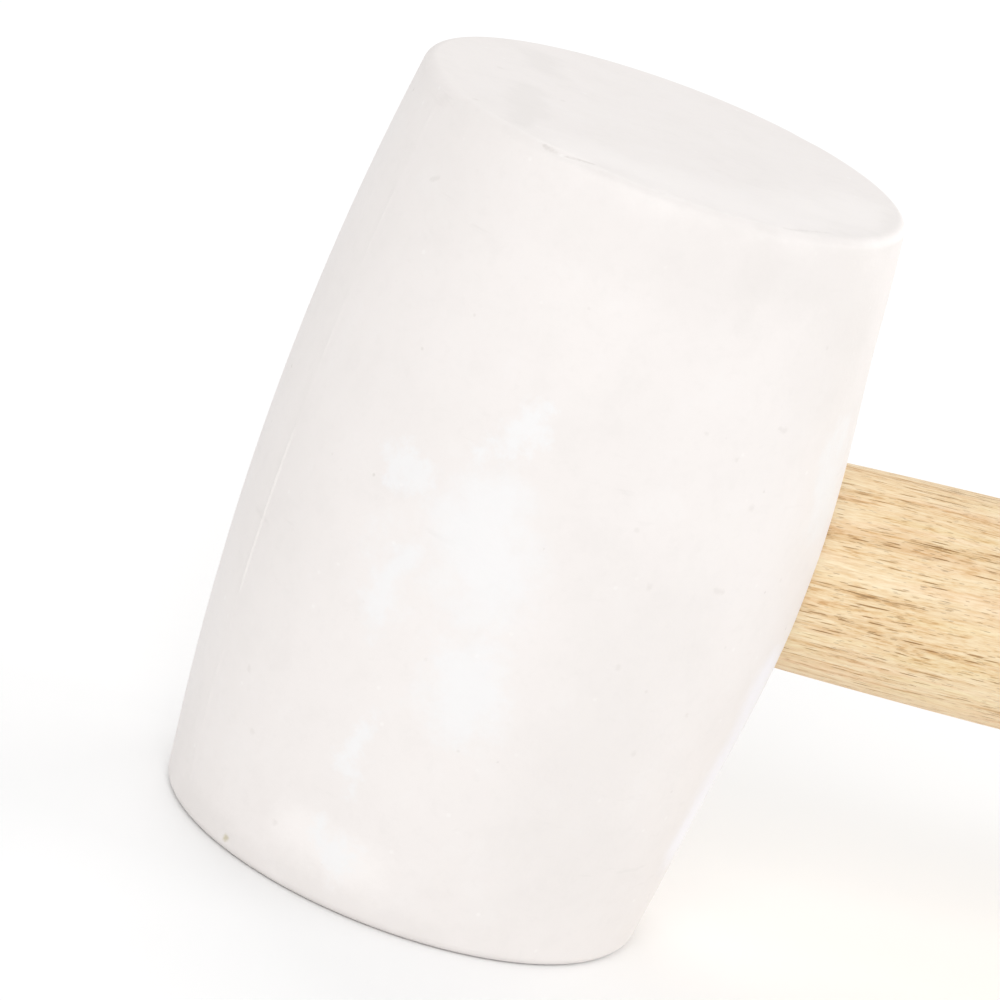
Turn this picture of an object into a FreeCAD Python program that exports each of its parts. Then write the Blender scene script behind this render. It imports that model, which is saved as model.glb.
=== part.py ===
"""Rubber mallet: a moulded rubber barrel head on a turned hardwood handle.

Millimetres. The mallet stands on one striking face: the origin is that face's centre, +Z runs up
the head to the other striking face, and +X runs out along the handle.

The handle's tenon sits in a blind socket moulded into the head. Its end is sawn, and a wood wedge
in the saw kerf, crossed by a steel one, spreads it so that the socket's wider floor holds it.
"""

import FreeCAD, Part
import math
import os
from FreeCAD import Vector

# head
head_length = 127.0
head_middle_diameter = 88.8
head_end_diameter = 80.1
rim_radius = 2.0
# The rubber swells where the thicker handle is forced in: height on the handle's axis, and reach.
swell_height = 2.4
swell_reach = 40.0

# handle, from the head outwards
handle_height = 64.0
neck_diameter = 35.0
taper_length = 60.0
shank_diameter = 37.2
shank_length = 44.0
waist_x = 212.0
waist_diameter = 33.0
palm_x = 272.0
palm_diameter = 36.6
butt_diameter = 35.4
butt_rounding = 7.0
handle_end_x = 311.0

# tenon inside the head
tenon_end_x = -17.0
tenon_waist_x = 26.0
tenon_waist_diameter = 34.0
tenon_end_diameter = 36.8
tenon_chamfer = 1.5

# wedges and saw kerf
kerf_width = 1.6
kerf_length = 46.0
wood_wedge_length = 38.0
wood_wedge_thickness = 5.6
steel_wedge_length = 20.0
steel_wedge_thickness = 3.2
steel_wedge_tip = 0.8
steel_wedge_width = 15.0
steel_wedge_barbs = 3
barb_depth = 0.35

head_middle_radius = head_middle_diameter / 2
head_end_radius = head_end_diameter / 2
mouth_x = head_middle_radius + swell_height
shank_x = mouth_x + taper_length

X_AXIS = Vector(1, 0, 0)
Z_AXIS = Vector(0, 0, 1)
SWELL_STEPS = 8


def barrel_radius(z):
    """Radius of the head's side, one circular arc from rim to rim, at height z."""
    half = head_length / 2
    rise = head_middle_radius - head_end_radius
    arc_radius = (half * half + rise * rise) / (2 * rise)
    return head_middle_radius - arc_radius + math.sqrt(arc_radius**2 - (z - half) ** 2)


def barrel():
    """The head before its socket: a turned barrel with rounded rims."""
    low_edge = Vector(head_end_radius, 0, 0)
    middle = Vector(head_middle_radius, 0, head_length / 2)
    high_edge = Vector(head_end_radius, 0, head_length)
    outline = Part.Wire(
        [
            Part.makeLine(Vector(0, 0, 0), low_edge),
            Part.Arc(low_edge, middle, high_edge).toShape(),
            Part.makeLine(high_edge, Vector(0, 0, head_length)),
            Part.makeLine(Vector(0, 0, head_length), Vector(0, 0, 0)),
        ]
    )
    solid = Part.Face(outline).revolve(Vector(0, 0, 0), Z_AXIS, 360)
    rims = [e for e in solid.Edges if e.Closed and abs(e.BoundBox.ZLength) < 0.001]
    return solid.makeFillet(rim_radius, rims)


def swell_point(across, along):
    """A point of the swollen skin, at arc length across and height along from the handle's axis."""
    z = handle_height + along
    skin = barrel_radius(z)
    rise = swell_height * (1 - (across**2 + along**2) / swell_reach**2)
    angle = across / head_middle_radius
    return Vector((skin + rise) * math.cos(angle), (skin + rise) * math.sin(angle), z)


def mouth_swell():
    """A low mound round the handle's mouth. Past its reach the skin dips inside the barrel."""
    step = 1.1 * swell_reach / SWELL_STEPS
    places = [i * step for i in range(-SWELL_STEPS, SWELL_STEPS + 1)]
    skin = Part.BSplineSurface()
    skin.interpolate([[swell_point(across, along) for along in places] for across in places])
    return skin.toShape().extrude(X_AXIS * -swell_reach / 2)


def bow(start, end):
    """An arc from start to end, level with the handle's axis at the thicker end."""
    middle = (start + end) / 2
    middle.z = 0.75 * max(start.z, end.z) + 0.25 * min(start.z, end.z)
    return Part.Arc(start, middle, end).toShape()


def handle_blank():
    """The whole turned handle, tenon and all, before it is sawn."""
    tenon_end = tenon_end_diameter / 2
    butt = butt_diameter / 2
    round_x = handle_end_x - butt_rounding
    points = {
        "tenon_centre": (tenon_end_x, 0),
        "tenon_face": (tenon_end_x, tenon_end - tenon_chamfer),
        "tenon_corner": (tenon_end_x + tenon_chamfer, tenon_end),
        "tenon_waist": (tenon_waist_x, tenon_waist_diameter / 2),
        "mouth": (mouth_x, neck_diameter / 2),
        "shank_start": (shank_x, shank_diameter / 2),
        "shank_end": (shank_x + shank_length, shank_diameter / 2),
        "waist": (waist_x, waist_diameter / 2),
        "palm": (palm_x, palm_diameter / 2),
        "butt_start": (round_x, butt),
        "butt_middle": (
            round_x + butt_rounding * math.sqrt(0.5),
            butt - butt_rounding * (1 - math.sqrt(0.5)),
        ),
        "butt_edge": (handle_end_x, butt - butt_rounding),
        "butt_centre": (handle_end_x, 0),
    }
    at = {name: Vector(x, 0, handle_height + r) for name, (x, r) in points.items()}
    grip = Part.BSplineCurve()
    grip.interpolate(
        [at["shank_end"], at["waist"], at["palm"]],
        InitialTangent=X_AXIS,
        FinalTangent=X_AXIS,
    )
    outline = Part.Wire(
        [
            Part.makeLine(at["tenon_centre"], at["tenon_face"]),
            Part.makeLine(at["tenon_face"], at["tenon_corner"]),
            Part.makeLine(at["tenon_corner"], at["tenon_waist"]),
            Part.makeLine(at["tenon_waist"], at["mouth"]),
            bow(at["mouth"], at["shank_start"]),
            Part.makeLine(at["shank_start"], at["shank_end"]),
            grip.toShape(),
            bow(at["palm"], at["butt_start"]),
            Part.Arc(at["butt_start"], at["butt_middle"], at["butt_edge"]).toShape(),
            Part.makeLine(at["butt_edge"], at["butt_centre"]),
            Part.makeLine(at["butt_centre"], at["tenon_centre"]),
        ]
    )
    return Part.Face(outline).revolve(Vector(0, 0, handle_height), X_AXIS, 360)


def slab(outline, normal, thickness):
    """A prism of a closed outline through the handle's axis, centred on that axis along normal."""
    face = Part.Face(Part.makePolygon(outline + outline[:1]))
    face.translate(Vector(0, 0, handle_height) - normal * (thickness / 2))
    return face.extrude(normal * thickness)


def wood_wedge_taper():
    """The wood wedge before it is trimmed to the tenon: it lies flat and narrows into the handle."""
    butt = wood_wedge_thickness / 2
    tip = kerf_width / 2
    tip_x = tenon_end_x + wood_wedge_length
    outline = [
        Vector(tenon_end_x, 0, -butt),
        Vector(tip_x, 0, -tip),
        Vector(tip_x, 0, tip),
        Vector(tenon_end_x, 0, butt),
    ]
    return slab(outline, Vector(0, 1, 0), 2 * tenon_end_diameter)


def saw_kerf():
    """The saw cut beyond the wedge's tip, with square walls."""
    outline = [
        Vector(tenon_end_x, 0, -kerf_width / 2),
        Vector(tenon_end_x + kerf_length, 0, -kerf_width / 2),
        Vector(tenon_end_x + kerf_length, 0, kerf_width / 2),
        Vector(tenon_end_x, 0, kerf_width / 2),
    ]
    return slab(outline, Vector(0, 1, 0), 2 * tenon_end_diameter)


def steel_wedge():
    """The steel wedge, upright across the wood one. The barbs down its sides face the way back out."""
    slope = (steel_wedge_thickness - steel_wedge_tip) / 2 / steel_wedge_length
    pitch = steel_wedge_length / (steel_wedge_barbs + 1)
    side = [(0, steel_wedge_thickness / 2)]
    for i in range(1, steel_wedge_barbs + 1):
        half = steel_wedge_thickness / 2 - slope * i * pitch
        side.append((i * pitch, half - barb_depth / 2))
        side.append((i * pitch, half + barb_depth / 2))
    side.append((steel_wedge_length, steel_wedge_tip / 2))
    left = [Vector(tenon_end_x + x, y, 0) for x, y in side]
    right = [Vector(tenon_end_x + x, -y, 0) for x, y in reversed(side)]
    return slab(left + right, Z_AXIS, steel_wedge_width)


def mallet_head():
    return barrel().fuse(mouth_swell()).cut(handle_blank())


def handle():
    return handle_blank().cut(saw_kerf().fuse(wood_wedge_taper()).fuse(steel_wedge()))


def wood_wedge():
    return wood_wedge_taper().common(handle_blank()).cut(steel_wedge())


PIECES = {
    "mallet_head": mallet_head,
    "handle": handle,
    "wood_wedge": wood_wedge,
    "steel_wedge": steel_wedge,
}

os.makedirs("parts", exist_ok=True)
for name, make in PIECES.items():
    piece = make()
    if len(piece.Solids) != 1 or not piece.isValid():
        raise ValueError(f"{name} isn't one valid solid")
    piece.Solids[0].exportStep(f"parts/{name}.step")
    box = piece.BoundBox
    size = f"{box.XLength:.1f} x {box.YLength:.1f} x {box.ZLength:.1f} mm"
    print(f"{name}: {piece.Volume / 1000:.1f} cm3, {size}")
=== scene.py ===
"""Looks of the rubber mallet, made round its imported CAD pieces. Metres, in the CAD model's own frame.

The mallet stands on its lower striking face at the origin. +Z runs up the head's axis and +X out along
the handle. An azimuth on the head is measured round +Z from +X towards +Y.
"""

import math

import bmesh
import bpy
import numpy as np
from mathutils import Matrix, Vector


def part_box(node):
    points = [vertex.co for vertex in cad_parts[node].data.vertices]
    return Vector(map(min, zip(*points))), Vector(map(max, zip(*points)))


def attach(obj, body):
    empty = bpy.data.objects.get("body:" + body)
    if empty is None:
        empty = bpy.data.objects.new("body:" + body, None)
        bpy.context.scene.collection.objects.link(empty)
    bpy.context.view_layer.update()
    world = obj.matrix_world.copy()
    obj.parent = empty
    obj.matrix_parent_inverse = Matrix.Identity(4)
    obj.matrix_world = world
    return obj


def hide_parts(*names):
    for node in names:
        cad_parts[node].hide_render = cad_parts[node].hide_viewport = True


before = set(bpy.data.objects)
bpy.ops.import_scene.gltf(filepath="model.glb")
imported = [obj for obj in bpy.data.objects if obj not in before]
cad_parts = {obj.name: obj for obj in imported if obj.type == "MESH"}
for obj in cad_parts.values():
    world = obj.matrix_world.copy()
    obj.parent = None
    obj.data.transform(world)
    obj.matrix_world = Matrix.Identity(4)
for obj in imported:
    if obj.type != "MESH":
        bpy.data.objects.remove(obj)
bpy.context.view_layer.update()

MM = 0.001
head_low, head_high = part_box("mallet_head")
handle_low, handle_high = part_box("handle")

# Head, as in the CAD model
HEAD_LENGTH = head_high[2]
MIDDLE_RADIUS = -head_low[1]
END_RADIUS = 40.05 * MM
RIM_RADIUS = 2.0 * MM

# Handle, as in the CAD model
HANDLE_HEIGHT = (handle_low[2] + handle_high[2]) / 2
TENON_END = handle_low[0]
HANDLE_END = handle_high[0]
SHANK_RADIUS = 18.6 * MM
NECK_RADIUS = 17.5 * MM
TENON_CHAMFER = 1.5 * MM
TENON_END_RADIUS = 18.4 * MM
TENON_WAIST = (26.0 * MM, 17.0 * MM)
MOUTH = MIDDLE_RADIUS + 2.4 * MM
SHANK_START = MOUTH + 60.0 * MM
SHANK_END = SHANK_START + 44.0 * MM
WAIST = (212.0 * MM, 16.5 * MM)
PALM = (272.0 * MM, 18.3 * MM)
BUTT_RADIUS = 17.7 * MM
BUTT_ROUNDING = 7.0 * MM

# Saw kerf and wedges in the tenon, as in the CAD model
KERF_WIDTH = 1.6 * MM
KERF_LENGTH = 46.0 * MM
WOOD_WEDGE = (38.0 * MM, 5.6 * MM)
STEEL_WEDGE = (20.0 * MM, 3.2 * MM, 15.0 * MM)
STEEL_WEDGE_TIP = 0.8 * MM
CUTTER_OVERHANG = 0.2 * MM

# The rubber's own marks
SWELL_HEIGHT = 2.6 * MM
SWELL_REACH = 49.0 * MM
PARTING_AZIMUTH = math.radians(187.6)
PARTING_HEIGHT = 0.22 * MM
PARTING_WIDTH = 0.34 * MM
PARTING_PLAIN_STRETCH = (41.0 * MM, 63.5 * MM)
LIP_RADIUS = 1.0 * MM
SOCKET_GAP = 0.08 * MM
UNEVENNESS = 0.04 * MM

# Fineness of the meshes, and the opening left in the head's grid for the rubber round the handle
FACE_ROWS = 30
RIM_ROWS = 16
SIDE_ROWS = 160
HEAD_COLUMNS = 420
HANDLE_COLUMNS = 256
TENON_ROWS = 24
NECK_ROWS = 70
GRIP_ROWS = 190
BUTT_ROWS = 14
WINDOW_HALF_HEIGHT = 29.0 * MM
WINDOW_HALF_ANGLE = math.radians(39)
MOUTH_STEPS = 30
LIP_STEPS = 7

# Camera and light
VIEW_AZIMUTH = -21.6
VIEW_ELEVATION = 16.2
VIEW_ROLL = 20.49
VIEW_DISTANCE = 1014.9 * MM
VIEW_OFFSET = (5.1 * MM, 0.3 * MM)
LENS = 228.6
FLOOR_HALF_SIZE = 40.0
WORLD_STRENGTH = 0.74
SOFTBOX_SIZE = 1.2
SOFTBOX_DISTANCE = 2.4
SOFTBOXES = [
    # name, azimuth, elevation, watts
    ("front_high", -25, 40, 12.9),
    ("front_low", -25, 10, 8.7),
    ("right", 80, 15, 11.3),
    ("back_right", 120, 14, 11.2),
    ("back", 180, 50, 9.2),
]


# Meshes ------------------------------------------------------------------------------------------


def mesh_object(name, vertices, faces):
    """A smooth-shaded closed mesh, with its faces turned outwards."""
    mesh = bpy.data.meshes.new(name)
    mesh.from_pydata(np.asarray(vertices).tolist(), [], faces)
    work = bmesh.new()
    work.from_mesh(mesh)
    bmesh.ops.recalc_face_normals(work, faces=work.faces)
    work.to_mesh(mesh)
    work.free()
    mesh.shade_smooth()
    piece = bpy.data.objects.new(name, mesh)
    bpy.context.collection.objects.link(piece)
    return piece


def ring_faces(first, second):
    """Quads between two closed rings of vertex numbers."""
    count = len(first)
    return [
        (first[i], first[(i + 1) % count], second[(i + 1) % count], second[i])
        for i in range(count)
    ]


def fan_faces(ring, centre):
    """Triangles from a closed ring of vertex numbers to one vertex."""
    return [(ring[i], ring[(i + 1) % len(ring)], centre) for i in range(len(ring))]


def smooth_step(x, low, high):
    t = np.clip((x - low) / (high - low), 0, 1)
    return t * t * (3 - 2 * t)


# Head --------------------------------------------------------------------------------------------


def side_arc():
    """Radius of the head's side in profile, and the distance of its centre from the head's axis."""
    rise = MIDDLE_RADIUS - END_RADIUS
    radius = ((HEAD_LENGTH / 2) ** 2 + rise**2) / (2 * rise)
    return radius, MIDDLE_RADIUS - radius


def side_radius(z):
    radius, centre = side_arc()
    return centre + np.sqrt(radius**2 - (z - HEAD_LENGTH / 2) ** 2)


def head_profile():
    """Rows of the head, from the lower face's middle to the upper's: radius, height, outward normal."""
    radius, centre = side_arc()
    reach = math.asin((HEAD_LENGTH / 2 - RIM_RADIUS) / (radius - RIM_RADIUS))
    flat_radius = centre + (radius - RIM_RADIUS) * math.cos(reach)
    face = np.linspace(1.0 * MM, flat_radius, FACE_ROWS, endpoint=False)
    rim = np.linspace(-math.pi / 2, -reach, RIM_ROWS, endpoint=False)
    side = np.linspace(-reach, reach, SIDE_ROWS)
    down, up = -np.ones_like(face), np.ones_like(face)
    lower_face = np.stack([face, 0 * face, 0 * face, down], axis=1)
    lower_rim = np.stack(
        [
            flat_radius + RIM_RADIUS * np.cos(rim),
            RIM_RADIUS + RIM_RADIUS * np.sin(rim),
            np.cos(rim),
            np.sin(rim),
        ],
        axis=1,
    )
    sides = np.stack(
        [
            centre + radius * np.cos(side),
            HEAD_LENGTH / 2 + radius * np.sin(side),
            np.cos(side),
            np.sin(side),
        ],
        axis=1,
    )
    upper_rim = lower_rim[::-1] * [1, -1, 1, -1] + [0, HEAD_LENGTH, 0, 0]
    upper_face = np.stack([face, 0 * face + HEAD_LENGTH, 0 * face, up], axis=1)[::-1]
    return np.concatenate([lower_face, lower_rim, sides, upper_rim, upper_face])


def head_azimuths():
    """Even columns round the head, with finer ones beside the parting line on both sides."""
    even = np.linspace(-math.pi, math.pi, HEAD_COLUMNS, endpoint=False)
    beside = np.linspace(-1.0 * MM, 1.0 * MM, 15) / MIDDLE_RADIUS
    near = (PARTING_AZIMUTH - 2 * math.pi, PARTING_AZIMUTH - math.pi)
    fine = np.concatenate([azimuth + beside for azimuth in near])
    far = np.min(np.abs(even[:, None] - fine[None]), axis=1) > 0.2 * MM / MIDDLE_RADIUS
    return np.sort(np.concatenate([even[far], fine]))


def arc_between(azimuth, other):
    """Arc length round the head's middle between two azimuths, the short way."""
    turn = (azimuth - other + math.pi) % (2 * math.pi) - math.pi
    return turn * MIDDLE_RADIUS


def swell(azimuth, z):
    """How far the rubber stands proud where the handle is forced into it."""
    away = np.hypot(arc_between(azimuth, 0), z - HANDLE_HEIGHT) / SWELL_REACH
    return SWELL_HEIGHT * np.clip(1 - away**2, 0, 1) ** 2


def parting_line(azimuth, z):
    """The fine ridge that the mould's joint leaves down both sides, trimmed nearly flush in places."""
    both = (PARTING_AZIMUTH, PARTING_AZIMUTH - math.pi)
    beside = np.minimum(*[np.abs(arc_between(azimuth, side)) for side in both])
    low, high = PARTING_PLAIN_STRETCH
    fade = 2.5 * MM
    plain = smooth_step(z, low - fade, low) * (1 - smooth_step(z, high, high + fade))
    left_over = 0.22 + 0.12 * np.sin(z * 310 + 1.0) + 0.08 * np.sin(z * 790)
    on_side = smooth_step(np.minimum(z, HEAD_LENGTH - z), 3 * MM, 7 * MM)
    height = PARTING_HEIGHT * (plain + (1 - plain) * left_over) * on_side
    return height * np.exp(-((beside / PARTING_WIDTH) ** 2))


def unevenness(points):
    """The slight hollows of a moulded and much-hit block.

    The waves add up to 1.9 at most, so every hollow is under the true surface.
    """
    x, y, z = points.T
    waves = (
        np.sin(61 * x + 23 * z + 0.7) * np.cos(47 * y - 31 * z)
        + 0.6 * np.sin(113 * y + 71 * x - 57 * z + 1.9)
        + 0.3 * np.sin(229 * z + 90 * x) * np.sin(173 * y + 0.4)
    )
    return UNEVENNESS * (waves - 1.9)


def nick(points, centre, along, length, width, depth):
    """A short narrow dent: its depth at each point."""
    along = np.array(along) / np.linalg.norm(along)
    offset = points - np.array(centre)
    lengthwise = offset @ along
    sideways = np.linalg.norm(offset - lengthwise[:, None] * along, axis=1)
    return depth * np.exp(-((lengthwise / length) ** 4) - (sideways / width) ** 2)


NICKS = [
    # centre, direction, half length, half width, depth, all in mm
    ((-25.6, -29.4, 126.7), (0.85, -0.52, 0.04), 3.6, 0.7, 0.4),
    ((12.8, -35.6, 126.9), (0.90, 0.44, 0.0), 4.8, 0.4, 0.2),
    ((-12.1, -36.9, 126.9), (0.95, -0.31, 0.0), 0.9, 0.6, 0.25),
    ((-35.8, -18.7, 2.4), (0.46, -0.88, 0.1), 1.2, 0.8, 0.3),
    ((-2.9, -44.3, 67.5), (0.70, 0.0, -0.71), 2.6, 0.5, 0.10),
    ((31.9, 23.3, 126.6), (-0.55, 0.83, 0.0), 2.4, 0.7, 0.35),
    ((-20.0, 34.5, 0.8), (0.87, 0.48, 0.0), 2.6, 0.6, 0.3),
    ((12.0, 42.8, 88.0), (0.3, 0.0, 0.95), 3.2, 0.5, 0.18),
]


def skin(azimuth, rows):
    """The head's surface at azimuths and profile rows, which broadcast together."""
    radius, z, normal_out, normal_up = rows
    out = np.stack([np.cos(azimuth), np.sin(azimuth), np.zeros_like(azimuth)], axis=-1)
    up = np.array([0, 0, 1.0])
    smooth = radius[..., None] * out + z[..., None] * up
    normal = normal_out[..., None] * out + normal_up[..., None] * up
    flat = smooth.reshape(-1, 3)
    rise = (swell(azimuth, z) * (normal_out > 0.9) + parting_line(azimuth, z)).reshape(-1)
    # the lower face stays flat, to stand on
    rise = rise + unevenness(flat) * smooth_step(flat[:, 2], 0, 6 * MM)
    for centre, along, length, width, depth in NICKS:
        centre = [c * MM for c in centre]
        rise = rise - nick(flat, centre, along, length * MM, width * MM, depth * MM)
    return smooth + normal * rise.reshape(azimuth.shape)[..., None]


def mouth_window(rows, azimuths):
    """First and last row and column of the opening left in the skin's grid round the handle."""
    side = np.flatnonzero(np.abs(rows[:, 1] - HANDLE_HEIGHT) < WINDOW_HALF_HEIGHT)
    near = np.flatnonzero(np.abs(azimuths) < WINDOW_HALF_ANGLE)
    return side[0], side[-1], near[0], near[-1]


def make_head():
    """The head's skin, its lip round the handle and its blind socket, as one closed mesh."""
    rows, azimuths = head_profile(), head_azimuths()
    height, width = len(rows), len(azimuths)
    grid_rows = [np.repeat(rows[:, k, None], width, axis=1) for k in range(4)]
    grid = skin(np.repeat(azimuths[None], height, axis=0), grid_rows)
    low, high, left, right = mouth_window(rows, azimuths)

    vertices = list(grid.reshape(-1, 3))
    number = np.arange(height * width).reshape(height, width)
    faces = []
    for i in range(height - 1):
        for j in range(width):
            if not (low <= i < high and left <= j < right):
                k = (j + 1) % width
                faces.append((number[i, j], number[i, k], number[i + 1, k], number[i + 1, j]))

    def add_ring(points):
        start = len(vertices)
        vertices.extend(points)
        return list(range(start, start + len(points)))

    def carry_on(points):
        """Joins the last ring round the opening to a new one further in."""
        nonlocal ring
        inner = add_ring(points)
        faces.extend(ring_faces(ring, inner))
        ring = inner

    for row in (0, height - 1):
        centre = add_ring([grid[row].mean(axis=0)])[0]
        faces.extend(fan_faces(list(number[row]), centre))

    # the skin between the opening and the mouth
    border = [(low, j) for j in range(left, right)]
    border += [(i, right) for i in range(low, high)]
    border += [(high, j) for j in range(right, left, -1)]
    border += [(i, left) for i in range(high, low, -1)]
    border = np.array(border)
    border_azimuth = azimuths[border[:, 1]]
    border_z = rows[border[:, 0], 1]
    angle = np.arctan2(border_z - HANDLE_HEIGHT, side_radius(border_z) * np.sin(border_azimuth))
    mouth_radius = handle_radius(np.array([MIDDLE_RADIUS]))[0] + SOCKET_GAP
    lip_edge = mouth_radius + LIP_RADIUS
    mouth_z = HANDLE_HEIGHT + lip_edge * np.sin(angle)
    mouth_skin = side_radius(mouth_z) + swell(lip_edge / MIDDLE_RADIUS, np.full_like(angle, HANDLE_HEIGHT))
    mouth_azimuth = np.arcsin(lip_edge * np.cos(angle) / mouth_skin)
    ring = [int(number[i, j]) for i, j in border]
    radius, _ = side_arc()
    for step in np.linspace(0, 1, MOUTH_STEPS + 1)[1:]:
        azimuth = border_azimuth + (mouth_azimuth - border_azimuth) * step
        z = border_z + (mouth_z - border_z) * step
        slope = np.arcsin((z - HEAD_LENGTH / 2) / radius)
        points = skin(azimuth, [side_radius(z), z, np.cos(slope), np.sin(slope)])
        carry_on(points)

    # the lip rolls in against the wood
    out_y, out_z = np.cos(angle), np.sin(angle)
    mouth_x = points[:, 0]

    def socket_ring(x, r):
        return np.stack([x + 0 * angle, r * out_y, HANDLE_HEIGHT + r * out_z], axis=1)

    for turn in np.linspace(0, math.pi / 2, LIP_STEPS + 1)[1:]:
        r = lip_edge - LIP_RADIUS * math.sin(turn)
        x = mouth_x - LIP_RADIUS * (1 - math.cos(turn))
        carry_on(socket_ring(x, r))

    # the socket's wall and floor, with rings between the bends to keep the faces short
    for x in (36 * MM, TENON_WAIST[0], 12 * MM, -2 * MM, TENON_END + TENON_CHAMFER):
        carry_on(socket_ring(x, handle_radius(np.array([x]))[0] + SOCKET_GAP))
    floor_x = TENON_END - SOCKET_GAP
    for r in (TENON_END_RADIUS - TENON_CHAMFER, 10 * MM, 4 * MM):
        carry_on(socket_ring(floor_x, r))
    centre = add_ring([np.array([floor_x, 0, HANDLE_HEIGHT])])[0]
    faces.extend(fan_faces(ring, centre))

    used = sorted({v for face in faces for v in face})
    place = {v: i for i, v in enumerate(used)}
    kept = [vertices[v] for v in used]
    return mesh_object("rubber_head", kept, [tuple(place[v] for v in face) for face in faces])


# Handle ------------------------------------------------------------------------------------------


def bow(x, start, end):
    """Part of an arc between two (x, radius) points, level with the axis at the thicker one."""
    level, other = (end, start) if end[1] > start[1] else (start, end)
    t = (x - level[0]) / (other[0] - level[0])
    return level[1] + (other[1] - level[1]) * t * t


def handle_radius(x):
    """Radius of the turned handle at places along its axis."""
    round_start = HANDLE_END - BUTT_ROUNDING
    into_round = np.clip(x - round_start, 0, BUTT_ROUNDING)
    rounding = BUTT_RADIUS - BUTT_ROUNDING + np.sqrt(BUTT_ROUNDING**2 - into_round**2)
    tenon_face = TENON_END_RADIUS - TENON_CHAMFER
    chamfer_end = TENON_END + TENON_CHAMFER
    waist_slope = (TENON_WAIST[1] - TENON_END_RADIUS) / (TENON_WAIST[0] - chamfer_end)
    neck_slope = (NECK_RADIUS - TENON_WAIST[1]) / (MOUTH - TENON_WAIST[0])
    stretches = [
        (chamfer_end, tenon_face + (x - TENON_END)),
        (TENON_WAIST[0], TENON_END_RADIUS + waist_slope * (x - chamfer_end)),
        (MOUTH, TENON_WAIST[1] + neck_slope * (x - TENON_WAIST[0])),
        (SHANK_START, bow(x, (MOUTH, NECK_RADIUS), (SHANK_START, SHANK_RADIUS))),
        (SHANK_END, np.full_like(x, SHANK_RADIUS)),
        (WAIST[0], SHANK_RADIUS + (WAIST[1] - SHANK_RADIUS) * smooth_step(x, SHANK_END, WAIST[0])),
        (PALM[0], WAIST[1] + (PALM[1] - WAIST[1]) * smooth_step(x, WAIST[0], PALM[0])),
        (round_start, bow(x, PALM, (round_start, BUTT_RADIUS))),
    ]
    ends = [x <= end for end, _ in stretches]
    return np.select(ends, [r for _, r in stretches], rounding)


def prism(outline, direction, thickness):
    """A closed prism of an outline in the plane through the handle's axis, centred on that plane."""
    half = Vector(direction) * thickness / 2
    points = [Vector((x, y, z + HANDLE_HEIGHT)) for x, y, z in outline]
    vertices = [tuple(p - half) for p in points] + [tuple(p + half) for p in points]
    count = len(points)
    lower, upper = list(range(count)), list(range(count, 2 * count))
    faces = ring_faces(lower, upper) + [tuple(lower), tuple(upper)]
    return mesh_object("cutter", vertices, faces)


def taper(length, butt, tip, upright):
    """Outline of a wedge cutter from just outside the tenon's end, standing upright or lying flat."""
    start = -CUTTER_OVERHANG
    corners = [(start, butt), (length, tip), (length, -tip), (start, -butt)]
    if upright:
        return [(TENON_END + x, half / 2, 0) for x, half in corners]
    return [(TENON_END + x, 0, half / 2) for x, half in corners]


def cut(piece, cutters):
    """Takes each cutter's volume out of a piece, and removes the cutters."""
    for cutter in cutters:
        modifier = piece.modifiers.new("cut", "BOOLEAN")
        modifier.object = cutter
        modifier.operation = "DIFFERENCE"
        modifier.solver = "EXACT"
    made = piece.evaluated_get(bpy.context.evaluated_depsgraph_get())
    piece.data = bpy.data.meshes.new_from_object(made)
    piece.data.name = piece.name
    piece.modifiers.clear()
    for cutter in cutters:
        bpy.data.meshes.remove(cutter.data)


def make_handle():
    """The turned handle with its sawn tenon."""
    rounding = HANDLE_END - BUTT_ROUNDING * (1 - np.sin(np.linspace(0, math.pi / 2, BUTT_ROWS)))
    along = np.concatenate(
        [
            [TENON_END, TENON_END + TENON_CHAMFER],
            np.linspace(TENON_END + 4 * MM, TENON_WAIST[0], TENON_ROWS),
            np.linspace(TENON_WAIST[0] + 1 * MM, SHANK_START, NECK_ROWS),
            np.linspace(SHANK_START + 1 * MM, HANDLE_END - BUTT_ROUNDING - 1 * MM, GRIP_ROWS),
            rounding,
        ]
    )
    turn = np.linspace(0, 2 * math.pi, HANDLE_COLUMNS, endpoint=False)
    vertices, faces, rings = [], [], []
    for x in along:
        waves = np.sin(2 * turn + 9 * x + 0.5) + 0.6 * np.sin(3 * turn - 31 * x) * np.sin(41 * x)
        uneven = UNEVENNESS * waves * smooth_step(x, MOUTH, MOUTH + 20 * MM)
        r = handle_radius(np.array([x]))[0] + uneven
        ring = np.stack([x + 0 * turn, r * np.cos(turn), HANDLE_HEIGHT + r * np.sin(turn)], axis=1)
        rings.append(list(range(len(vertices), len(vertices) + len(turn))))
        vertices.extend(ring)
    for first, second in zip(rings, rings[1:]):
        faces.extend(ring_faces(first, second))
    for ring, x in ((rings[0], TENON_END), (rings[-1], HANDLE_END)):
        faces.extend(fan_faces(ring, len(vertices)))
        vertices.append(np.array([x, 0, HANDLE_HEIGHT]))
    piece = mesh_object("turned_handle", vertices, faces)
    across = 3 * TENON_END_RADIUS
    sawn = prism(taper(KERF_LENGTH, KERF_WIDTH, KERF_WIDTH, False), (0, 1, 0), across)
    wedged = prism(taper(WOOD_WEDGE[0], WOOD_WEDGE[1], KERF_WIDTH, False), (0, 1, 0), across)
    crossed = prism(taper(STEEL_WEDGE[0], STEEL_WEDGE[1], STEEL_WEDGE_TIP, True), (0, 0, 1), STEEL_WEDGE[2])
    cut(piece, [sawn, wedged, crossed])
    piece.data.shade_smooth()
    piece.data.set_sharp_from_angle(angle=math.radians(40))
    return piece


# Materials ---------------------------------------------------------------------------------------


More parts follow.
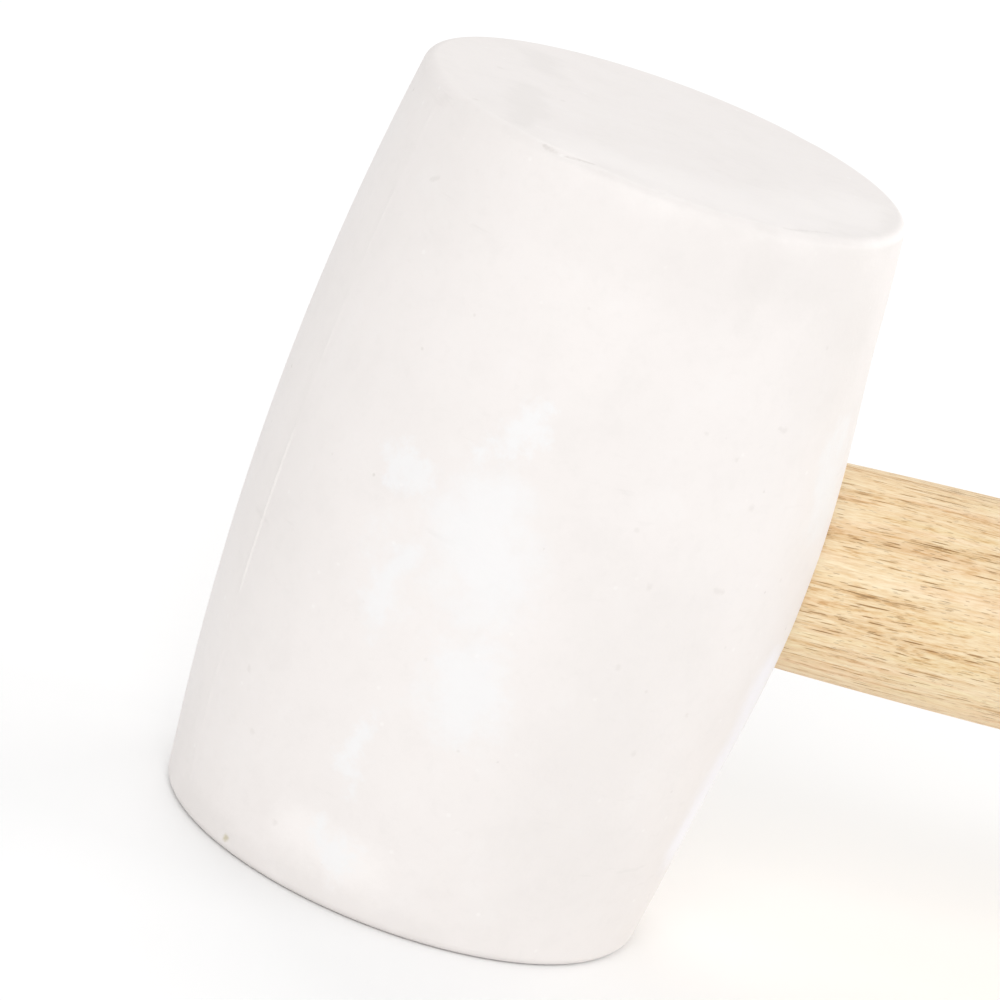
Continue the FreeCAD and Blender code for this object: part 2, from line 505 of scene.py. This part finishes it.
class Shader:
    """A node material being built. Each call adds one node and returns its main output."""

    def __init__(self, name):
        self.material = bpy.data.materials.new(name)
        self.material.use_nodes = True
        self.tree = self.material.node_tree
        self.surface = self.tree.nodes["Principled BSDF"]

    def node(self, kind, inputs, output=0, **settings):
        made = self.tree.nodes.new(kind)
        for key, value in settings.items():
            setattr(made, key, value)
        for key, value in inputs.items():
            if isinstance(value, bpy.types.NodeSocket):
                self.tree.links.new(value, made.inputs[key])
            else:
                made.inputs[key].default_value = value
        return made.outputs[output]

    def maths(self, operation, a, b=0.0, clamp=False):
        return self.node("ShaderNodeMath", {0: a, 1: b}, operation=operation, use_clamp=clamp)

    def vector(self, operation, a, b=(0.0, 0.0, 0.0)):
        output = 1 if operation in ("LENGTH", "DOT_PRODUCT", "DISTANCE") else 0
        return self.node("ShaderNodeVectorMath", {0: a, 1: b}, output, operation=operation)

    def noise(self, place, scale, detail=2.0, roughness=0.5, output=0):
        inputs = {"Vector": place, "Scale": scale, "Detail": detail, "Roughness": roughness}
        return self.node("ShaderNodeTexNoise", inputs, output)

    def cells(self, place, scale):
        """Distance to the nearest of a scatter of points, and a random colour for that point."""
        distance = self.node("ShaderNodeTexVoronoi", {"Vector": place, "Scale": scale}, 0)
        return distance, distance.node.outputs[1]

    def remap(self, value, low, high, to_low=0.0, to_high=1.0):
        inputs = {0: value, 1: low, 2: high, 3: to_low, 4: to_high}
        return self.node("ShaderNodeMapRange", inputs, interpolation_type="SMOOTHSTEP")

    def ramp(self, value, stops):
        output = self.node("ShaderNodeValToRGB", {0: value})
        elements = output.node.color_ramp.elements
        for element, (place, colour) in zip(elements, (stops[0], stops[-1])):
            element.position = place
            element.color = (*colour, 1)
        for place, colour in stops[1:-1]:
            elements.new(place).color = (*colour, 1)
        return output

    def mix(self, share, a, b, blend="MIX"):
        """A mix of two colours."""
        inputs = {0: share, 6: a, 7: b}
        inputs = {k: (*v, 1) if isinstance(v, tuple) else v for k, v in inputs.items()}
        return self.node("ShaderNodeMix", inputs, 2, data_type="RGBA", blend_type=blend)

    def bump(self, height, distance, below=None, strength=1.0):
        inputs = {"Height": height, "Distance": distance, "Strength": strength}
        if below is not None:
            inputs["Normal"] = below
        return self.node("ShaderNodeBump", inputs)

    def near_strokes(self, place, strokes):
        """Nearness to the closest of some strokes: 1 along its middle, down to 0 at its half width."""
        closest = None
        for start, end, half_width in strokes:
            start, along = Vector(start) * MM, (Vector(end) - Vector(start)) * MM
            offset = self.vector("SUBTRACT", place, tuple(start))
            if along.length > 0:
                share = self.vector("DOT_PRODUCT", offset, tuple(along / along.length_squared))
                share = self.maths("ADD", share, 0.0, clamp=True)
                foot = self.node("ShaderNodeVectorMath", {0: tuple(along), 3: share}, operation="SCALE")
                away = self.vector("DISTANCE", offset, foot)
            else:
                away = self.vector("LENGTH", offset)
            away = self.maths("DIVIDE", away, half_width * MM)
            closest = away if closest is None else self.maths("MINIMUM", closest, away)
        return self.remap(closest, 0.15, 1.0, 1.0, 0.0)

    def finish(self, colour, roughness, normal):
        self.tree.links.new(colour, self.surface.inputs["Base Color"])
        self.tree.links.new(roughness, self.surface.inputs["Roughness"])
        self.tree.links.new(normal, self.surface.inputs["Normal"])
        return self.material

    def place(self):
        return self.node("ShaderNodeTexCoord", {}, "Object")


RUBBER = (0.812, 0.774, 0.754)
# Grey tone of the rubber itself, also used below to paint shade.
RUBBER_GREY = (0.70, 0.668, 0.645)
RUBBER_PALE = (0.85, 0.83, 0.82)
# Painted light: a lighter, bluish tint for the bright band of light across the side.
RUBBER_PAINTED_LIGHT = (0.82, 0.83, 0.84)
# Painted highlight: a paler tint for rim edges where light catches them.
RUBBER_PAINTED_HIGHLIGHT = (0.875, 0.84, 0.82)
# Painted light: a bluish-white tint for light from the right and behind.
RUBBER_PAINTED_SIDE_LIGHT = (0.865, 0.86, 0.91)
GRIT = (0.44, 0.40, 0.36)
# Painted glints: the tint of tiny pale specks that stand in for glints.
PAINTED_GLINT = (0.9, 0.88, 0.86)
STAIN = (0.46, 0.40, 0.20)
WOOD_BLUSH = (1.0, 0.91, 0.90)
WOOD_STRAW = (0.98, 1.0, 0.86)
STEEL = (0.50, 0.50, 0.51)
STEEL_GROUND = (0.38, 0.38, 0.39)
STEEL_STAIN = (0.30, 0.22, 0.16)
FLOOR_TONES = ((0.93, 0.93, 0.93), (0.95, 0.95, 0.95))

# Marks on the rubber, and patches of painted light and shade on it: start, end and half width in mm, or for
# dots only centre and half width. A stroke that lies off the surface tints just the part of it that comes
# near.
SCRATCHES = [
    ((-29.0, -26.8, 126.7), (-27.4, -28.6, 126.6), 0.7),
    ((-27.4, -28.6, 126.6), (-22.2, -31.0, 126.9), 0.5),
]
FAINT_SCRATCHES = [
    ((8.0, -37.9, 126.8), (17.6, -33.2, 126.8), 0.4),
    ((-39.4, -13.3, 113.3), (-38.9, -14.5, 114.2), 0.6),
    ((17.9, -40.5, 68.9), (19.4, -39.9, 68.6), 0.7),
    ((18.9, -38.8, 96.2), (20.2, -38.1, 96.0), 0.7),
]
FAINT_DOTS = [
    ((-25.4, 13.1, 127.0), 0.9),
    ((-36.3, -11.3, 127.0), 0.9),
    ((-17.4, 3.2, 127.0), 0.8),
    ((-40.6, -14.7, 29.5), 0.9),
    ((-38.1, -18.9, 20.9), 0.8),
    ((-31.9, -26.1, 9.6), 0.8),
    ((5.8, -44.0, 68.0), 0.9),
    ((5.7, -43.9, 54.0), 0.8),
    ((18.9, -39.7, 83.0), 0.9),
    ((14.5, -41.4, 40.0), 0.8),
    ((23.1, -35.1, 109.7), 0.6),
    ((0.3, -44.1, 76.3), 0.6),
    ((31.3, -32.1, 70.4), 0.7),
    ((21.9, -38.2, 47.1), 0.6),
    ((6.0, -42.9, 93.6), 0.6),
    ((12.9, -41.6, 90.5), 0.6),
]
SMUDGES = [
    ((-23.0, 6.0, 127.0), (-27.0, -9.0, 127.0), 5.0),
    ((-27.0, -9.0, 127.0), (-31.0, -18.0, 127.0), 3.5),
    ((-14.0, 29.0, 127.0), (-16.0, 20.0, 127.0), 5.0),
]
# Painted light: lighter, bluish patches along the bright band of light across the front of the side, and
# one on its right edge.
PAINTED_LIGHT_PATCHES = [
    ((-34.0, -28.0, 72.0), (-31.0, -31.0, 71.0), 4.5),
    ((-24.0, -37.0, 80.0), (-20.0, -39.0, 88.0), 4.5),
    ((-22.0, -38.0, 70.0), (-19.0, -40.0, 62.0), 12.0),
    ((-17.0, -40.0, 47.0), (-15.0, -41.0, 40.0), 9.0),
    ((-30.0, -32.0, 59.0), (-31.0, -31.0, 52.0), 7.0),
    ((-27.0, -34.0, 31.0), (-27.0, -33.0, 24.0), 5.0),
    ((-24.0, -33.0, 11.0), (-23.0, -34.0, 9.0), 4.5),
    ((35.0, -27.0, 92.0), (37.0, -26.0, 80.0), 8.0),
]
# Painted shade: broad greyer patches where less light falls, on the right and lower right of the side and
# under the front rim.
PAINTED_SHADE_PATCHES = [
    ((9.0, -43.0, 62.0), (8.0, -42.0, 24.0), 19.0),
    ((22.0, -34.0, 123.0), (26.0, -33.0, 104.0), 15.0),
    ((-22.0, -38.0, 119.0), (6.0, -44.0, 118.0), 13.0),
]
# Painted highlight: paler bands on the top face along the front rim, and on the lower-left rim, where these
# edges catch the light.
PAINTED_HIGHLIGHT_EDGES = [
    ((-22.0, -25.0, 132.0), (-12.0, -31.0, 132.0), 13.0),
    ((-12.0, -31.0, 132.0), (10.0, -32.0, 132.0), 16.0),
    ((10.0, -32.0, 132.0), (31.0, -14.0, 132.0), 15.0),
    ((-30.0, -29.0, 10.0), (-20.0, -37.0, 9.0), 7.0),
]
# Painted shade: greyer bands along the underside of the lower rim, below the upper rim on the right, and
# over the far right end of the upper rim, where they dim the lamps' highlight.
PAINTED_SHADE_EDGES = [
    ((-40.0, -4.0, 2.5), (-34.0, -21.5, 2.5), 4.5),
    ((-34.0, -21.5, 2.5), (-23.0, -33.0, 2.5), 4.5),
    ((-23.0, -33.0, 2.5), (-6.0, -40.0, 2.5), 4.0),
    ((9.0, -40.0, 120.0), (22.0, -35.0, 120.0), 9.0),
    ((22.0, -35.0, 120.0), (30.0, -29.0, 113.0), 10.0),
    ((29.0, -27.0, 126.5), (39.0, -9.0, 126.5), 4.0),
]
# Painted light: bluish white round the handle's mouth and down the right edge of the side, standing in for
# light from the right and behind and covering the warm light bounced off the handle.
PAINTED_SIDE_LIGHT = [
    ((47.0, 0.0, 64.0), (47.0, 0.0, 64.0), 38.0),
    ((39.0, -23.0, 52.0), (37.0, -23.0, 22.0), 9.0),
]
STAIN_DOTS = [
    ((-35.8, -18.2, 2.2), 1.0),
]


def dots(marks):
    """Dots as strokes of no length."""
    return [(centre, centre, half_width) for centre, half_width in marks]


def rubber_material():
    """Off-white moulded rubber: faint clouding, mould grain, grit, scuffs and the marks listed above, among
    them patches of painted light and shade, and pale specks painted as glints.
    """
    s = Shader("white_rubber")
    place = s.place()
    clouds = s.noise(place, 24.0, 4.0, 0.6)
    blotches = s.noise(place, 130.0, 4.0, 0.65)
    mottle = s.noise(place, 560.0, 3.0, 0.6)
    grain = s.noise(place, 1500.0, 2.0, 0.6)
    colour = s.mix(s.remap(clouds, 0.42, 0.66, 0.0, 0.14), RUBBER, RUBBER_GREY)
    colour = s.mix(s.remap(clouds, 0.44, 0.30, 0.0, 0.18), colour, RUBBER_PALE)
    colour = s.mix(s.remap(blotches, 0.48, 0.72, 0.0, 0.15), colour, RUBBER_GREY)
    colour = s.mix(s.remap(blotches, 0.46, 0.28, 0.0, 0.15), colour, RUBBER_PALE)
    colour = s.mix(s.remap(mottle, 0.52, 0.74, 0.0, 0.11), colour, RUBBER_GREY)

    # grit in the rubber: scattered dark specks, most of them faint, and a few pale specks painted as tiny
    # glints
    distance, random = s.cells(place, 230.0)
    channels = s.node("ShaderNodeSeparateColor", {0: random}).node.outputs
    chosen = s.maths("LESS_THAN", channels[1], 0.5)
    size = s.remap(channels[0], 0.0, 1.0, 0.03, 0.08)
    inside = s.remap(s.maths("SUBTRACT", size, distance), -0.02, 0.04)
    strength = s.maths("MULTIPLY", s.maths("POWER", channels[2], 2.0), 0.4)
    specks = s.maths("MULTIPLY", s.maths("MULTIPLY", inside, chosen), strength)
    colour = s.mix(specks, colour, GRIT)
    glint_distance, _ = s.cells(s.vector("ADD", place, (0.37, 0.11, 0.23)), 170.0)
    colour = s.mix(s.remap(glint_distance, 0.02, 0.09, 0.35, 0.0), colour, PAINTED_GLINT)

    # scuffs: thin drawn-out smears
    smear = s.noise(s.vector("MULTIPLY", place, (95.0, 95.0, 520.0)), 1.0, 3.0, 0.6)
    rubbed = s.noise(place, 26.0, 1.0)
    scuffed = s.maths("MULTIPLY", s.remap(smear, 0.60, 0.74), s.remap(rubbed, 0.52, 0.66, 0.0, 0.35))
    colour = s.mix(scuffed, colour, RUBBER_GREY)

    # the marks of this mallet's use, and patches of painted light and shade, each with a ragged or a
    # wandering edge
    ragged = s.vector("SUBTRACT", s.noise(place, 900.0, 2.0, 0.6, output=1), (0.5, 0.5, 0.5))
    wavy = s.vector("SUBTRACT", s.noise(place, 110.0, 5.0, 0.7, output=1), (0.5, 0.5, 0.5))

    def warped(shift, reach):
        return s.vector("ADD", place, s.vector("MULTIPLY", shift, (reach,) * 3))

    fine_place = warped(ragged, 1.0 * MM)
    near_place = warped(wavy, 9.0 * MM)
    broad_place = warped(wavy, 20.0 * MM)
    # The first five rows paint light and shade: side light, highlights on the rims, the band of light, and
    # two kinds of shade.
    for strokes, where, strength, tint in (
        (PAINTED_SIDE_LIGHT, near_place, 0.75, RUBBER_PAINTED_SIDE_LIGHT),
        (PAINTED_HIGHLIGHT_EDGES, near_place, 0.65, RUBBER_PAINTED_HIGHLIGHT),
        (PAINTED_LIGHT_PATCHES, broad_place, 0.55, RUBBER_PAINTED_LIGHT),
        (PAINTED_SHADE_PATCHES, broad_place, 0.22, RUBBER_GREY),
        (PAINTED_SHADE_EDGES, near_place, 0.28, RUBBER_GREY),
        (SMUDGES, near_place, 0.34, RUBBER_GREY),
        (SCRATCHES, fine_place, 0.30, GRIT),
        (FAINT_SCRATCHES + dots(FAINT_DOTS), fine_place, 0.14, GRIT),
        (dots(STAIN_DOTS), fine_place, 0.6, STAIN),
    ):
        colour = s.mix(s.maths("MULTIPLY", s.near_strokes(where, strokes), strength), colour, tint)

    roughness = s.remap(clouds, 0.3, 0.7, 0.46, 0.54)
    roughness = s.maths("ADD", roughness, s.maths("MULTIPLY", scuffed, 0.18))
    normal = s.bump(s.maths("MULTIPLY", specks, -1.0), 0.12 * MM)
    normal = s.bump(blotches, 0.12 * MM, normal, 0.6)
    normal = s.bump(grain, 0.02 * MM, normal, 0.7)
    return s.finish(colour, roughness, normal)


def wood_material(name, cream, tan, brown, pore, pith, ring_width):
    """Open-grained hardwood, grain along X: growth rings round a pith, fine fibres, short dark pores."""
    s = Shader(name)
    s.surface.inputs["Specular IOR Level"].default_value = 0.35
    place = s.place()
    wander = s.noise(s.vector("MULTIPLY", place, (9.0, 30.0, 30.0)), 1.0, 2.0, output=1)
    wander = s.vector("SUBTRACT", wander, (0.5, 0.5, 0.5))
    place = s.vector("ADD", place, s.vector("MULTIPLY", wander, (0.0, 0.008, 0.008)))
    place = s.node("ShaderNodeMapping", {"Vector": place, "Rotation": (0.0, 0.012, 0.02)})

    def drawn_out(along, across, detail=2.0, roughness=0.5):
        return s.noise(s.vector("MULTIPLY", place, (along, across, across)), 1.0, detail, roughness)

    # how far through its year each ring is, with the first growth marked, and stray lines of the same kind
    from_pith = s.vector("MULTIPLY", s.vector("SUBTRACT", place, (0.0, *pith)), (0.0, 1.0, 1.0))
    rings = s.maths("DIVIDE", s.vector("LENGTH", from_pith), ring_width)
    rings = s.maths("ADD", rings, s.maths("MULTIPLY", drawn_out(5.0, 130.0, 1.0), 1.5))
    ring = s.maths("FRACT", rings)
    early = s.maths("MULTIPLY", s.remap(ring, 0.0, 0.08), s.remap(ring, 0.10, 0.26, 1.0, 0.0))
    stray = s.remap(drawn_out(14.0, 1200.0), 0.56, 0.66)
    patchy = s.remap(drawn_out(40.0, 400.0), 0.34, 0.58)
    line = s.maths("MULTIPLY", s.maths("MAXIMUM", early, s.maths("MULTIPLY", stray, 0.8)), patchy)

    bands = drawn_out(13.0, 170.0)
    streaks = drawn_out(95.0, 1150.0, 4.0, 0.62)
    fibres = drawn_out(430.0, 3900.0, 2.0, 0.6)
    tone = s.maths("MULTIPLY", s.remap(bands, 0.3, 0.7), 0.22)
    tone = s.maths("ADD", tone, s.maths("MULTIPLY", s.remap(streaks, 0.30, 0.70), 0.36))
    tone = s.maths("ADD", tone, s.maths("MULTIPLY", s.remap(fibres, 0.28, 0.72), 0.42))
    tone = s.maths("SUBTRACT", tone, s.maths("MULTIPLY", line, 0.16))
    middle = tuple((a + b) / 2 for a, b in zip(cream, tan))
    colour = s.ramp(tone, [(0.04, brown), (0.30, tan), (0.56, middle), (0.88, cream)])
    colour = s.mix(s.maths("MULTIPLY", line, 0.22), colour, brown)
    blush = drawn_out(30.0, 330.0)
    colour = s.mix(s.remap(blush, 0.52, 0.68, 0.0, 0.5), colour, WOOD_BLUSH, "MULTIPLY")
    straw = drawn_out(34.0, 420.0)
    colour = s.mix(s.remap(straw, 0.55, 0.70, 0.0, 0.3), colour, WOOD_STRAW, "MULTIPLY")

    # pores: slits that crowd along the lines of first growth, each with a brown edge
    def slits(along, across, low_size, high_size, sparse, crowded):
        distance, random = s.cells(s.vector("MULTIPLY", place, (along, across, across)), 1.0)
        channels = s.node("ShaderNodeSeparateColor", {0: random}).node.outputs
        size = s.remap(channels[0], 0.0, 1.0, low_size, high_size)
        within = s.maths("SUBTRACT", size, distance)
        share = s.remap(line, 0.0, 1.0, sparse, crowded)
        chosen = s.maths("LESS_THAN", channels[1], share)
        depth = s.maths("MULTIPLY", chosen, s.remap(channels[2], 0.0, 1.0, 0.4, 1.0))
        slit = s.maths("MULTIPLY", s.remap(within, -0.03, 0.07), depth)
        edge = s.maths("MULTIPLY", s.remap(within, -0.30, 0.0), depth)
        return slit, edge

    long_slit, long_edge = slits(70.0, 3200.0, 0.22, 0.36, 0.04, 0.62)
    middle_slit, middle_edge = slits(210.0, 4000.0, 0.24, 0.42, 0.10, 0.55)
    short_slit, _ = slits(520.0, 5200.0, 0.24, 0.44, 0.22, 0.5)
    pores = s.maths("MAXIMUM", long_slit, s.maths("MULTIPLY", middle_slit, 0.85))
    pores = s.maths("MAXIMUM", pores, s.maths("MULTIPLY", short_slit, 0.55))
    edges = s.maths("MAXIMUM", long_edge, s.maths("MULTIPLY", middle_edge, 0.8))
    shade = s.remap(drawn_out(90.0, 2600.0), 0.55, 0.70, 0.0, 0.30)
    colour = s.mix(s.maths("MAXIMUM", shade, s.maths("MULTIPLY", edges, 0.5)), colour, brown)
    colour = s.mix(s.maths("MULTIPLY", pores, 0.8), colour, pore)

    roughness = s.remap(fibres, 0.3, 0.7, 0.48, 0.58)
    roughness = s.maths("ADD", roughness, s.maths("MULTIPLY", pores, 0.25))
    normal = s.bump(s.maths("MULTIPLY", pores, -1.0), 0.08 * MM)
    normal = s.bump(fibres, 0.03 * MM, normal, 0.7)
    normal = s.bump(streaks, 0.07 * MM, normal, 0.5)
    return s.finish(colour, roughness, normal)


def steel_material():
    """A rough-ground steel wedge, dull and a little discoloured."""
    s = Shader("wedge_steel")
    place = s.place()
    grinding = s.noise(s.vector("MULTIPLY", place, (300.0, 300.0, 6000.0)), 1.0, 3.0)
    stain = s.noise(place, 260.0, 4.0, 0.6)
    colour = s.mix(s.remap(stain, 0.5, 0.75), STEEL, STEEL_STAIN)
    colour = s.mix(s.remap(grinding, 0.3, 0.7, 0.0, 0.4), colour, STEEL_GROUND)
    roughness = s.remap(stain, 0.4, 0.8, 0.34, 0.7)
    s.surface.inputs["Metallic"].default_value = 1.0
    return s.finish(colour, roughness, s.bump(grinding, 0.03 * MM))


def floor_material():
    s = Shader("pale_floor")
    mottle = s.noise(s.place(), 3.0, 2.0)
    colour = s.mix(mottle, *FLOOR_TONES)
    roughness = s.remap(mottle, 0.0, 1.0, 0.85, 0.9)
    return s.finish(colour, roughness, s.bump(mottle, 0.1 * MM))


# Studio ------------------------------------------------------------------------------------------


def direction(azimuth, elevation):
    """Unit vector from the mallet to a viewer. In degrees: azimuth 0 is at -Y, 90 at +X."""
    a, e = math.radians(azimuth), math.radians(elevation)
    return Vector((math.sin(a) * math.cos(e), -math.cos(a) * math.cos(e), math.sin(e)))


def make_camera():
    data = bpy.data.cameras.new("camera")
    data.lens = LENS
    camera = bpy.data.objects.new("camera", data)
    back = direction(VIEW_AZIMUTH, VIEW_ELEVATION)
    level = direction(VIEW_AZIMUTH + 90, 0)
    up = back.cross(level)
    roll = math.radians(VIEW_ROLL)
    right = level * math.cos(roll) + up * math.sin(roll)
    top = up * math.cos(roll) - level * math.sin(roll)
    middle = Vector((0, 0, HEAD_LENGTH / 2))
    spot = middle + back * VIEW_DISTANCE - right * VIEW_OFFSET[0] - top * VIEW_OFFSET[1]
    turn = Matrix((right, top, back)).transposed()
    camera.matrix_world = Matrix.Translation(spot) @ turn.to_4x4()
    bpy.context.collection.objects.link(camera)
    bpy.context.scene.camera = camera


def softbox(name, azimuth, elevation, power):
    """A square area lamp aimed at the head, which the camera doesn't see."""
    data = bpy.data.lights.new(name, "AREA")
    data.shape = "SQUARE"
    data.size = SOFTBOX_SIZE
    data.energy = power
    lamp = bpy.data.objects.new(name, data)
    away = direction(azimuth, elevation)
    lamp.location = Vector((0, 0, HEAD_LENGTH / 2)) + away * SOFTBOX_DISTANCE
    lamp.rotation_mode = "QUATERNION"
    lamp.rotation_quaternion = away.to_track_quat("Z", "Y")
    lamp.visible_camera = False
    bpy.context.collection.objects.link(lamp)


def make_studio():
    half = FLOOR_HALF_SIZE
    corners = [(-half, -half, 0), (half, -half, 0), (half, half, 0), (-half, half, 0)]
    floor = mesh_object("floor", corners, [(0, 1, 2, 3)])
    floor.data.materials.append(floor_material())
    world = bpy.data.worlds.new("studio")
    world.use_nodes = True
    background = world.node_tree.nodes["Background"]
    background.inputs["Color"].default_value = (1, 1, 1, 1)
    background.inputs["Strength"].default_value = WORLD_STRENGTH
    bpy.context.scene.world = world
    for box in SOFTBOXES:
        softbox(*box)
    view = bpy.context.scene.view_settings
    view.view_transform = "Standard"
    view.look = "None"


# Making ------------------------------------------------------------------------------------------

make_camera()
make_studio()

head = make_head()
head.data.materials.append(rubber_material())
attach(head, "root")
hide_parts("mallet_head")

handle_wood = wood_material(
    "handle_wood",
    cream=(0.87, 0.738, 0.516),
    tan=(0.765, 0.564, 0.325),
    brown=(0.58, 0.345, 0.15),
    pore=(0.25, 0.105, 0.012),
    pith=(0.070, HANDLE_HEIGHT - 0.055),
    ring_width=3.1 * MM,
)
handle = make_handle()
handle.data.materials.append(handle_wood)
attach(handle, "root")
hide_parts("handle")

wedge_wood = wood_material(
    "wedge_wood",
    cream=(0.56, 0.38, 0.22),
    tan=(0.44, 0.27, 0.14),
    brown=(0.32, 0.18, 0.09),
    pore=(0.10, 0.06, 0.03),
    pith=(0.030, HANDLE_HEIGHT + 0.050),
    ring_width=2.2 * MM,
)
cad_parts["wood_wedge"].material_slots[0].material = wedge_wood
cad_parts["steel_wedge"].material_slots[0].material = steel_material()
